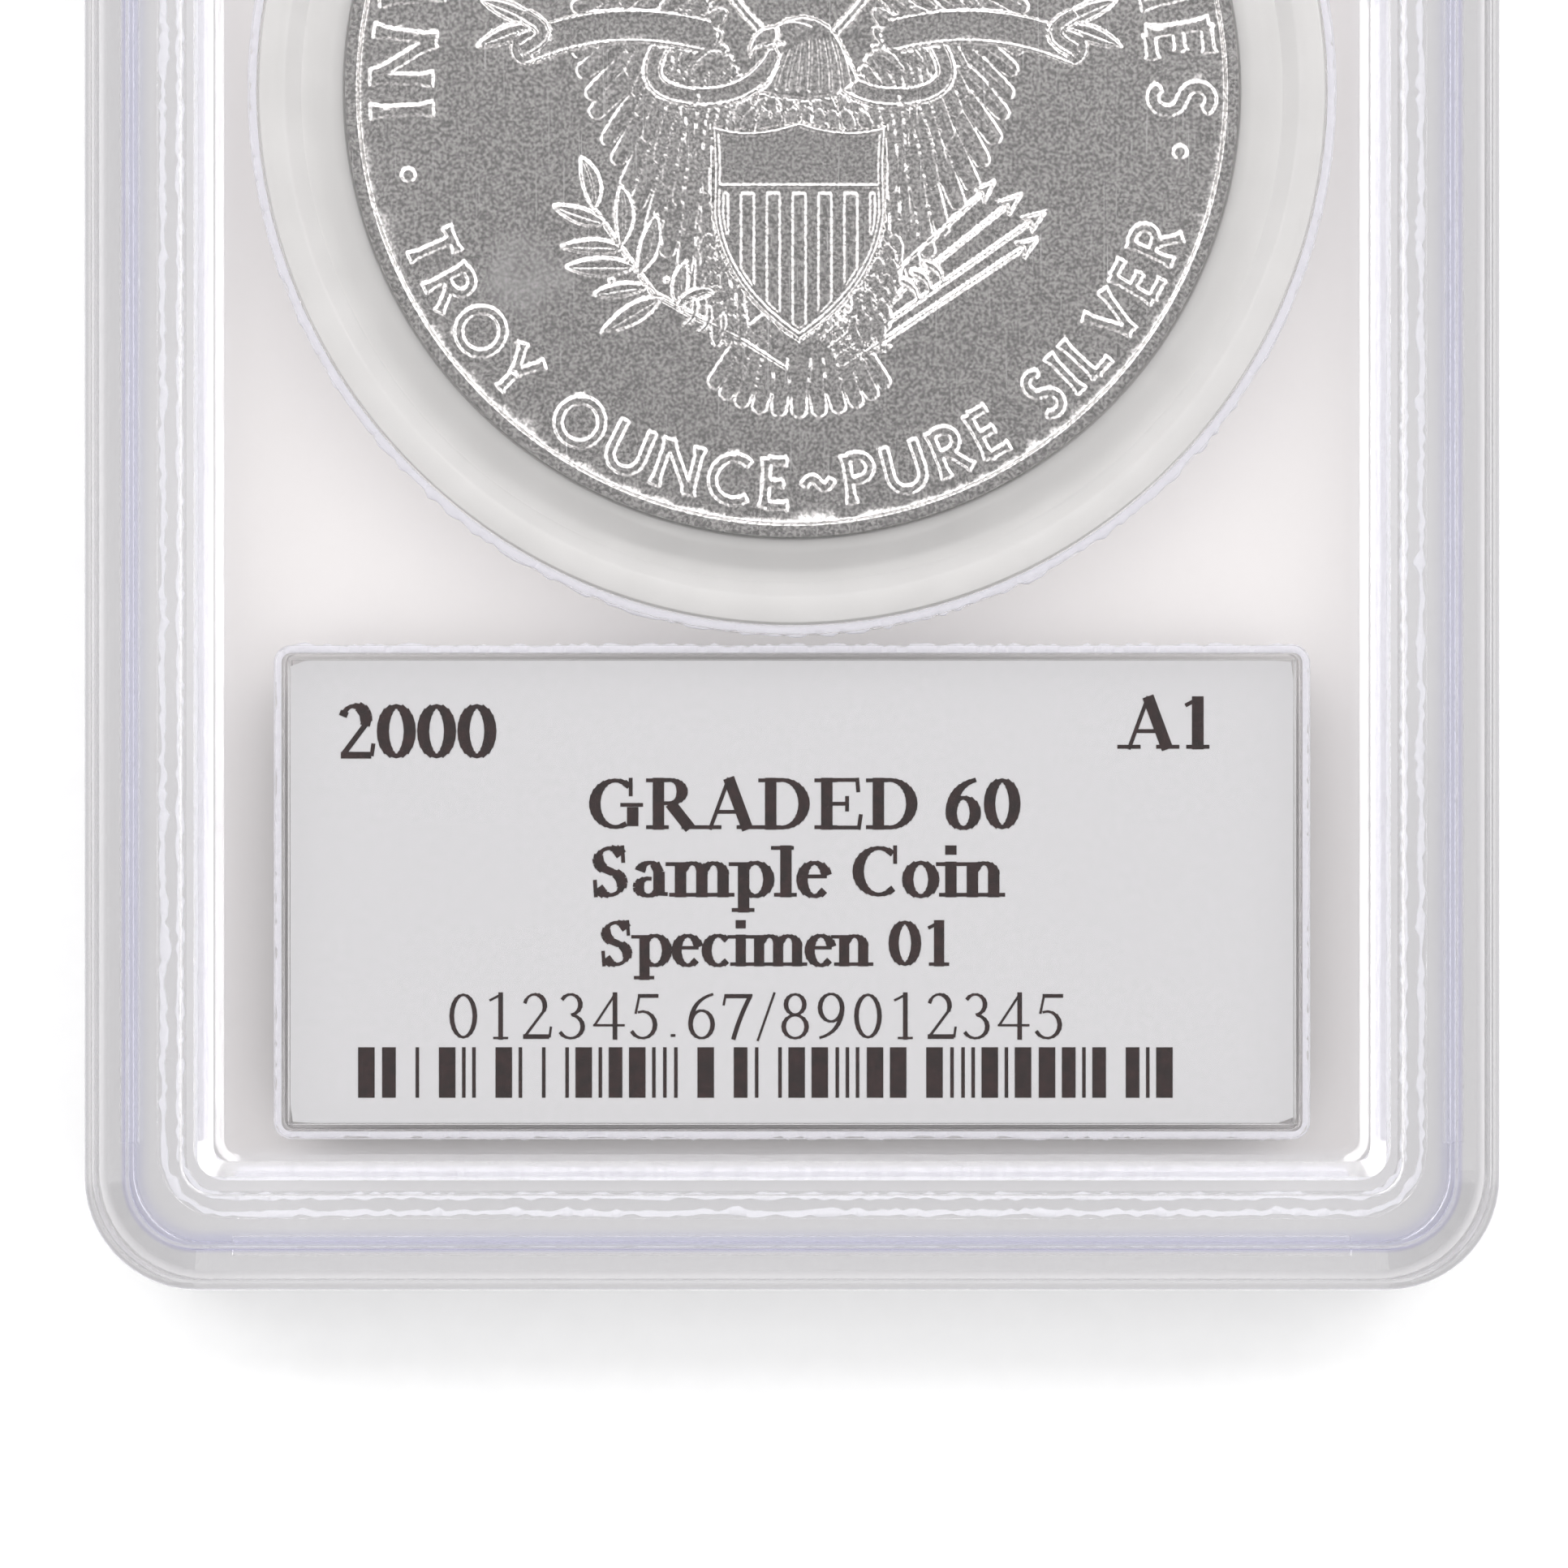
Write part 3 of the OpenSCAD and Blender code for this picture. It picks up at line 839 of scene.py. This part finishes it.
def coin_face(die, tolerance):
    """Points and triangles of one struck field. The first points are the ring at its edge."""
    ring = [(FIELD_R * math.cos(a), FIELD_R * math.sin(a))
            for a in np.arange(2 * REEDS) * math.pi / REEDS]
    keep = sparse_corners(die.height, tolerance) & (np.hypot(rows[None], rows[:, None]) < FIELD_R - 0.08)
    j, i = np.nonzero(keep)
    spots = ring + list(zip(rows[i].tolist(), rows[j].tolist()))
    edge = [(k, (k + 1) % len(ring)) for k in range(len(ring))]
    flat, _, triangles, *_ = delaunay_2d_cdt(spots, edge, [], 0, 1e-6)
    lift = np.concatenate([np.zeros(len(ring)), die.height[j, i]])
    assert len(flat) == len(spots)
    return np.column_stack([np.array([tuple(p) for p in flat]), lift]), np.array(triangles)


def strike_coin():
    """The coin: a struck face on each side, raised rims and a reeded edge."""
    field = COIN_HALF - RIM_LIFT
    back, back_faces = coin_face(reverse_die(), 0.003)
    front, front_faces = coin_face(sunburst_die(), 0.006)
    back[:, 2] += field
    front = front * (1, 1, -1) - (0, 0, field)
    ring = 2 * REEDS
    profile = [(FIELD_R + out, field + lift) for out, lift in RIM_PROFILE]
    points = [back, front]
    faces = [tuple(t) for t in back_faces.tolist()]
    faces += [tuple(t) for t in (front_faces[:, ::-1] + len(back)).tolist()]
    total = len(back) + len(front)
    above = 0
    reed = np.where(np.arange(ring) % 2 == 0, COIN_R - AIR, COIN_R - AIR - REED_DEPTH)
    edge = [(reed, field + 0.1), (reed, -field - 0.1)]
    for r, z in profile + edge + [(r, -z) for r, z in reversed(profile)]:
        points.append(circle(r, z, ring))
        faces += ribbon_faces(above, total, ring)
        above, total = total, total + ring
    faces += ribbon_faces(above, len(back), ring)
    points = np.vstack(points) + (0, COIN_Y, JOINT)
    coin = make_piece("struck_coin", points, faces, "coin", struck_silver())
    crease(coin, 50)


# ---------------------------------------------------------------- ring and welds
def turn_ring():
    """The soft ring: a lip round the coin, a thin web, and a shoulder that the shells clamp."""
    high = corners("coin_ring")[1]
    outer = high[0] - 0.01
    top = high[2] - JOINT - AIR
    lip = COIN_HALF - RIM_LIFT
    profile = [
        (COIN_R + 0.01, lip - 0.06), (COIN_R + 0.07, lip), (COIN_R + 0.45, lip), (COIN_R + 0.7, lip - 0.07),
        (COIN_R + 1.3, 0.83), (COIN_R + 1.6, 0.76), (outer - 1.9, 0.74), (outer - 1.78, 0.82),
        (outer - 1.3, top - 0.1), (outer - 1.12, top), (outer - 0.25, top), (outer - 0.08, top - 0.06),
        (outer, top - 0.25),
    ]
    profile += [(r, -z) for r, z in reversed(profile)]
    steps = 240
    points = np.vstack([circle(r, z, steps) for r, z in profile]) + (0, COIN_Y, JOINT)
    faces = tube_faces(len(profile), steps)
    ring = make_piece("soft_ring", points, faces, "coin_ring", soft_ring_rubber())
    crease(ring, 35)


def wander(steps, lumps, seed):
    """A closed row of soft random values from 0 to 1."""
    noise = np.random.default_rng(seed).random(lumps)
    return np.interp(np.arange(steps) * lumps / steps, np.arange(lumps + 1), np.append(noise, noise[0]))


def melt_bead(name, node, loop, centre, inner, outer, material):
    """A weld bead between an inner and an outer edge, which are offsets from a loop."""
    points, outward = loop
    count = len(points)
    low, high = corners(node)
    half = (high[2] - low[2]) / 2 - AIR
    mid = (high[2] + low[2]) / 2
    section = [(0, 0.55), (0.1, 1), (0.9, 1), (1, 0.55), (1, -0.55), (0.9, -1), (0.1, -1), (0, -0.55)]
    rings = []
    for across, up in section:
        flat = points + outward * (inner + (outer - inner) * across)[:, None] + centre
        rings.append(np.column_stack([flat, np.full(count, mid + half * up)]))
    faces = tube_faces(len(section), count)
    bead = make_piece(name, np.vstack(rings), faces, node, material)
    crease(bead, 60)


def lay_welds():
    """Beads of squeezed-out melt: two round the rim, one round the label pocket and one round
    the coin. The steps are small beside the lumps, whose number follows each loop's length."""
    plastic = melted_plastic()
    flash = 0.15
    low, high = corners("rim_weld")
    width, length = (high - low)[:2]
    steps = 2600
    loop = closed_loop(width - 1.1, length - 1.1, 2.55, steps)
    outer = 0.53 - 0.2 * wander(steps, 700, 1)
    inner = 0.24 - 0.36 * wander(steps, 820, 2) * wander(steps, 210, 3)
    melt_bead("rim_bead_outer", "rim_weld", loop, (0, 0), inner, outer, plastic)
    outer = -0.25 - 0.16 * wander(steps, 640, 4)
    inner = -0.48 - 0.18 * wander(steps, 760, 5)
    melt_bead("rim_bead_inner", "rim_weld", loop, (0, 0), inner, outer, plastic)

    low, high = corners("label_weld")
    width, length = (high - low)[:2] - 2 * flash - 0.35
    steps = 1800
    loop = closed_loop(width, length, 0.62, steps)
    outer = 0.1 + 0.24 * wander(steps, 440, 6)
    inner = np.full(steps, -0.155)
    melt_bead("label_bead", "label_weld", loop, (low + high)[:2] / 2, inner, outer, plastic)

    low, high = corners("ring_weld")
    diameter = high[0] - low[0] - 2 * flash - 0.4
    loop = closed_loop(diameter, diameter, diameter / 2, steps)
    outer = 0.12 + 0.24 * wander(steps, 420, 7)
    inner = np.full(steps, -0.18)
    melt_bead("ring_bead", "ring_weld", loop, (low + high)[:2] / 2, inner, outer, plastic)


# ---------------------------------------------------------------- shells
def part_shell(node, name, gap, materials):
    """A shell's moulding with its joint face drawn back, so that a film of air parts the two.
    The materials are for the plates, the rim's level faces, inner walls and outer sides."""
    plate, rim, wall, side = range(4)
    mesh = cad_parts[node].data.copy()
    mesh.name = name
    spots = np.empty(len(mesh.vertices) * 3)
    mesh.vertices.foreach_get("co", spots)
    spots = spots.reshape(-1, 3)
    spots[np.abs(spots[:, 2] - JOINT * MM) < 0.001 * MM, 2] += gap * MM
    mesh.vertices.foreach_set("co", spots.ravel())
    mesh.materials.clear()
    for material in materials:
        mesh.materials.append(material)
    for face in mesh.polygons:
        depth = abs(face.center.z / MM - JOINT)
        past_x = abs(face.center.x) / MM - HALF_W + CORNER_R
        past_y = abs(face.center.y) / MM - HALF_L + CORNER_R
        past_corner = math.hypot(max(past_x, 0), max(past_y, 0))
        inset = CORNER_R - (past_corner or max(past_x, past_y))
        in_plate = inset > RIM_W or min(abs(depth - level) for level in PLATE_LEVELS) < 0.01
        if abs(face.normal.z) < 0.5:
            face.material_index = side if inset < SIDE_DEPTH else wall
        else:
            face.material_index = plate if in_plate else rim
    shell = into_scene(name, mesh)
    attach(shell, "root")
    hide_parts(node)


# ---------------------------------------------------------------- print
# Letters in units of the capitals' height: their width, strokes, hairlines and serifs
SMALL_TOP = 0.68
STEM_UP = [(0.22, 0), (0.22, 1)]
STEM_FEET = [(0.2, 0), (0.2, 1)]
SMALL_STEM = [(0.21, 0), (0.21, 0.66)]
ARCH = arc((0.44, 0.44), (0.2, 0.22), 150, 0, 8)
GLYPHS = {
    " ": (0.37, [], [], []),
    ".": (0.37, [[(0.18, 0.06), (0.18, 0.1)]], [], []),
    "/": (0.41, [], [[(0.02, -0.03), (0.38, 1.0)]], []),
    "0": (0.74, [arc((0.37, 0.5), (0.25, 0.46), 0, 360, 20)], [], []),
    "1": (0.74, [[(0.39, 0), (0.39, 1)]], [[(0.16, 0.84), (0.39, 0.96)]], [(0.39, 0)]),
    "2": (0.74, [arc((0.34, 0.72), (0.22, 0.25), 165, -25, 10) + [(0.14, 0.08)]],
          [[(0.1, 0.03), (0.64, 0.03)], [(0.1, 0.08), (0.66, 0.08)], [(0.66, 0.05), (0.69, 0.26)]], []),
    "3": (0.74, [arc((0.33, 0.75), (0.21, 0.22), 150, -85, 10),
                 arc((0.33, 0.27), (0.26, 0.25), 80, -150, 12)], [], []),
    "4": (0.74, [[(0.5, 0), (0.5, 1)]], [[(0.5, 0.97), (0.06, 0.3)], [(0.04, 0.3), (0.7, 0.3)]], []),
    "5": (0.74, [arc((0.31, 0.31), (0.27, 0.29), 110, -150, 12)],
          [[(0.22, 0.95), (0.64, 0.95)], [(0.22, 0.92), (0.64, 0.92)], [(0.24, 0.95), (0.16, 0.56)]], []),
    "6": (0.74, [arc((0.38, 0.32), (0.24, 0.3), 0, 360, 18), bend((0.14, 0.36), (0.18, 0.85), (0.62, 0.97))],
          [], []),
    "7": (0.74, [bend((0.64, 0.92), (0.42, 0.5), (0.28, 0.0))],
          [[(0.1, 0.95), (0.68, 0.95)], [(0.1, 0.91), (0.66, 0.91)], [(0.11, 0.95), (0.07, 0.74)]], []),
    "8": (0.74, [arc((0.37, 0.75), (0.2, 0.22), 0, 360, 16), arc((0.37, 0.27), (0.25, 0.25), 0, 360, 16)],
          [], []),
    "9": (0.74, [arc((0.36, 0.68), (0.24, 0.3), 0, 360, 18), bend((0.60, 0.64), (0.56, 0.15), (0.12, 0.03))],
          [], []),
    "A": (1.07, [[(0.5, 1.0), (0.87, 0)]], [[(0.13, 0), (0.5, 1.0)], [(0.26, 0.34), (0.7, 0.34)]],
          [(0.13, 0), (0.88, 0)]),
    "C": (1.0, [arc((0.56, 0.5), (0.41, 0.46), 50, 312, 18)], [[(0.88, 1.0), (0.88, 0.66)]], []),
    "D": (1.07, [STEM_UP, [(0.22, 0.97), (0.4, 0.97), *arc((0.44, 0.5), (0.44, 0.47), 88, -88, 14),
                           (0.4, 0.03), (0.22, 0.03)]], [], STEM_FEET),
    "E": (0.98, [STEM_UP],
          [[(0.2, 0.97), (0.84, 0.97)], [(0.2, 0.5), (0.62, 0.5)], [(0.2, 0.03), (0.87, 0.03)],
           [(0.82, 1.0), (0.84, 0.74)], [(0.62, 0.64), (0.62, 0.36)], [(0.85, 0), (0.89, 0.28)]],
          STEM_FEET),
    "G": (1.15, [arc((0.56, 0.5), (0.41, 0.46), 50, 300, 18), [(0.9, 0.07), (0.9, 0.42)]],
          [[(0.86, 1.0), (0.86, 0.66)]], [(0.88, 0.44)]),
    "R": (1.07, [STEM_UP, [(0.22, 0.97), (0.4, 0.97), *arc((0.44, 0.74), (0.25, 0.23), 88, -88, 12),
                           (0.22, 0.51)], [(0.46, 0.5), (0.84, 0.02)]], [], [*STEM_FEET, (0.9, 0)]),
    "S": (0.82, [[*arc((0.41, 0.74), (0.24, 0.22), 25, 255, 12),
                  *arc((0.40, 0.26), (0.25, 0.23), 80, -155, 12)]],
          [[(0.65, 1.0), (0.67, 0.68)], [(0.13, 0), (0.11, 0.32)]], []),
    "a": (0.74, [arc((0.36, 0.46), (0.2, 0.21), 165, 60, 8) + [(0.54, 0.48), (0.54, 0.05)],
                 arc((0.33, 0.19), (0.2, 0.17), 75, 330, 12)], [[(0.54, 0.06), (0.7, 0.05)]], []),
    "c": (0.66, [arc((0.37, 0.34), (0.26, 0.33), 45, 315, 14)], [], []),
    "e": (0.66, [arc((0.35, 0.34), (0.25, 0.33), 15, 318, 14)], [[(0.12, 0.4), (0.58, 0.4)]], []),
    "i": (0.41, [[(0.21, 0), (0.21, SMALL_TOP)], [(0.21, 0.84), (0.21, 1.0)]], [],
          [(0.2, 0), (0.14, SMALL_TOP)]),
    "l": (0.41, [[(0.21, 0), (0.21, 1)]], [], [(0.2, 0), (0.14, 1)]),
    "m": (1.23, [SMALL_STEM, [(0.63, 0), (0.63, 0.46)], [(1.05, 0), (1.05, 0.46)], ARCH,
                 arc((0.86, 0.44), (0.2, 0.22), 150, 0, 8)],
          [], [(0.21, 0), (0.63, 0), (1.05, 0), (0.14, SMALL_TOP)]),
    "n": (0.82, [SMALL_STEM, [(0.63, 0), (0.63, 0.46)], ARCH], [], [(0.21, 0), (0.63, 0), (0.14, SMALL_TOP)]),
    "o": (0.74, [arc((0.37, 0.34), (0.26, 0.33), 0, 360, 16)], [], []),
    "p": (0.82, [[(0.21, -0.3), (0.21, 0.66)], arc((0.44, 0.34), (0.27, 0.33), 145, -145, 14)],
          [], [(0.2, -0.3), (0.14, SMALL_TOP)]),
}
SLANTED = set("S2")  # drawn with the pen held at a slant
BOLD = (0.225, 0.075)  # the pen's broad and narrow sides
LIGHT = (0.1, 0.05)
SERIF_REACH = 0.1
LAP = 0.012


def pen_width(step, pen, slanted):
    """How wide a broad pen draws in a direction: full on upright strokes, fine on level ones."""
    lean = math.atan2(step[1], step[0])
    share = math.sin(lean) * (math.sin(lean) - (math.cos(lean) if slanted else 0))
    return pen[1] + (pen[0] - pen[1]) * min(1.0, max(0.0, share))


def draw_stroke(path, widths):
    """A stroke as one quad per step of its path, each a touch long so that neighbours join."""
    quads = []
    for a, b, width in zip(path[:-1], path[1:], widths):
        step = np.subtract(b, a)
        along = step / math.hypot(*step)
        off = np.array([-along[1], along[0]]) * width / 2
        lap = along * min(LAP, math.hypot(*step) / 4)
        quads.append([a - lap - off, b + lap - off, b + lap + off, a - lap + off])
    return quads


def write(words, left, base, cap_height, pen, width=None):
    """Outlines of a line of print, spread to fill a width when one is given."""
    natural = sum(GLYPHS[c][0] for c in words) * cap_height
    spread = (width - natural) / (len(words) - 1) if width else 0.0
    broad, narrow = pen
    outlines, at = [], 0.0
    for letter in words:
        advance, strokes, hairs, serifs = GLYPHS[letter]
        quads = []
        for path in strokes:
            steps = np.diff(np.array(path, float), axis=0)
            slanted = letter in SLANTED or len(path) == 2
            quads += draw_stroke(path, [pen_width(step, pen, slanted) for step in steps])
        for path in hairs:
            quads += draw_stroke(path, [narrow])
        for x, y in serifs:
            reach = broad / 2 + SERIF_REACH
            level = y - narrow / 2 if y in (1, SMALL_TOP) else y + narrow / 2
            quads += draw_stroke([(x - reach, level), (x + reach, level)], [narrow])
        for quad in quads:
            outlines.append([(left + at + x * cap_height, base + y * cap_height) for x, y in quad])
        at += advance * cap_height + spread
    return outlines


def draw_barcode(left, right, low, high, seed):
    """Upright bars in a random order of thin and thick, which stand for no number."""
    draw = np.random.default_rng(seed)
    bars, at = [], left
    widest = 0.8
    while at < right - widest:
        thick = draw.choice([0.16, 0.16, 0.16, 0.62, 0.75])
        bars.append([(at, low), (at + thick, low), (at + thick, high), (at, high)])
        at += thick + draw.choice([0.3, 0.3, 0.34, 0.9])
    return bars


def print_card(side, node, card_stock, ink):
    """One card with its print. side is 1 for the card behind the back window, -1 for the front."""
    low, high = corners(node)
    middle = (low + high) / 2
    width, length = (high - low)[:2]
    thick = high[2] - low[2] - 0.07
    near, far = JOINT + side * AIR, JOINT + side * (AIR + thick)
    loop, _ = closed_loop(width - 0.06, length - 0.06, 0.25, 160)
    outline = [tuple(p + middle[:2]) for p in loop]
    points, faces = flat_solid([outline], min(near, far), max(near, far))
    make_piece(node.replace("label", "card"), points, faces, node, card_stock, False)

    # Lines of print from the card's middle: words, left end, baseline, capitals' height, pen, width
    lines = (
        ("2000", -20.7, 6.07, 2.45, BOLD, 7.3),
        ("A1", 15.0, 6.5, 2.35, BOLD, None),
        ("GRADED 60", -9.3, 2.85, 2.3, BOLD, 19.7),
        ("Sample Coin", -9.2, -0.22, 2.3, BOLD, 18.8),
        ("Specimen 01", -8.8, -3.36, 2.05, BOLD, 16.2),
        ("012345.67/89012345", -15.7, -6.69, 2.1, LIGHT, 28.2),
    )
    outlines = []
    for words, left, base, cap_height, pen, room in lines:
        outlines += write(words, left, base, cap_height, pen, room)
    outlines += draw_barcode(-19.7, 18.7, -9.35, -7.06, 7)
    ink_film = 0.015
    top = far + side * ink_film
    placed = [[(side * x + middle[0], y + middle[1]) for x, y in each][::side] for each in outlines]
    points, faces = flat_solid(placed, min(far, top), max(far, top))
    make_piece(node.replace("label", "print"), points, faces, None, ink, False)


# ---------------------------------------------------------------- studio
def lay_floor():
    """The white surface that the slab lies on."""
    half = 3.0
    mesh = bpy.data.meshes.new("floor")
    mesh.from_pydata([(-half, -half, 0), (half, -half, 0), (half, half, 0), (-half, half, 0)], [], [range(4)])
    floor = into_scene("floor", mesh)
    mesh.materials.append(studio_paper())


def hang_light(name, place, size, power):
    """A rectangular soft box that faces the slab; metres and watts."""
    lamp = bpy.data.lights.new(name, "AREA")
    lamp.shape = "RECTANGLE"
    lamp.size, lamp.size_y = size
    lamp.energy = power
    light = into_scene(name, lamp)
    light.location = place
    toward = -light.location.normalized()
    light.rotation_euler = toward.to_track_quat("-Z", "Y").to_euler()


def light_studio():
    """Soft boxes on three sides, a bright surround and a dim ceiling where the camera hangs."""
    hang_light("softbox_top", (0.0, 0.55, 0.5), (2.4, 0.6), 12.0)
    hang_light("softbox_right", (0.53, -0.1, 0.48), (1.4, 0.5), 4.6)
    hang_light("softbox_left", (-0.53, -0.1, 0.48), (1.4, 0.5), 4.0)
    world = bpy.data.worlds.new("surround")
    bpy.context.scene.world = world
    world.use_nodes = True
    tree = world.node_tree
    tree.nodes.clear()
    way = add(tree, "SeparateXYZ", links={0: add(tree, "TexCoord").outputs["Generated"]})
    tone = add(tree, "ValToRGB", links={"Fac": way.outputs["Z"]})
    for stop, height, level in zip(tone.color_ramp.elements, (0.75, 0.97), (1.0, 0.1)):
        stop.position = height
        stop.color = (level, level, level, 1.0)
    glow = add(tree, "Background", {"Strength": 0.56}, {"Color": tone.outputs["Color"]})
    add(tree, "OutputWorld", links={"Surface": glow.outputs[0]})


def place_camera():
    """Straight above the slab, level with its face, and nearer the label end."""
    camera_height = 260.0
    view_width = 70.4
    camera = bpy.data.cameras.new("camera")
    camera.sensor_width = 36
    camera.lens = camera.sensor_width * (camera_height - BACK_FACE) / view_width
    holder = into_scene("camera", camera)
    holder.location = (-0.36 * MM, -20.18 * MM, camera_height * MM)
    bpy.context.scene.camera = holder


acrylic = (
    moulded_acrylic("acrylic_plate", 0.99, 0.03, "#fefefe"),
    moulded_acrylic("acrylic_rim", 0.89, 0.06, "#fefefe"),
    moulded_acrylic("acrylic_walls", 0.9, 0.25, "#fbfbfb"),
    moulded_acrylic("acrylic_sides", 0.55, 0.15, "#7e7d81"),
)
part_shell("back_shell", "back_moulding", AIR / 2, acrylic)
hazy = moulded_acrylic("hazy_acrylic_plate", 0.5, 0.06, "#fefefe", windows=True)
part_shell("front_shell", "front_moulding", -AIR / 2, (hazy, *acrylic[1:]))
strike_coin()
turn_ring()
lay_welds()
stock, ink = coated_card(), printing_ink()
print_card(1, "back_label", stock, ink)
print_card(-1, "front_label", stock, ink)
lay_floor()
light_studio()
place_camera()
scene = bpy.context.scene
scene.view_settings.view_transform = "Standard"
scene.cycles.max_bounces = 16
scene.cycles.transmission_bounces = 16
scene.cycles.transparent_max_bounces = 32
scene.cycles.caustics_refractive = False
scene.cycles.caustics_reflective = False
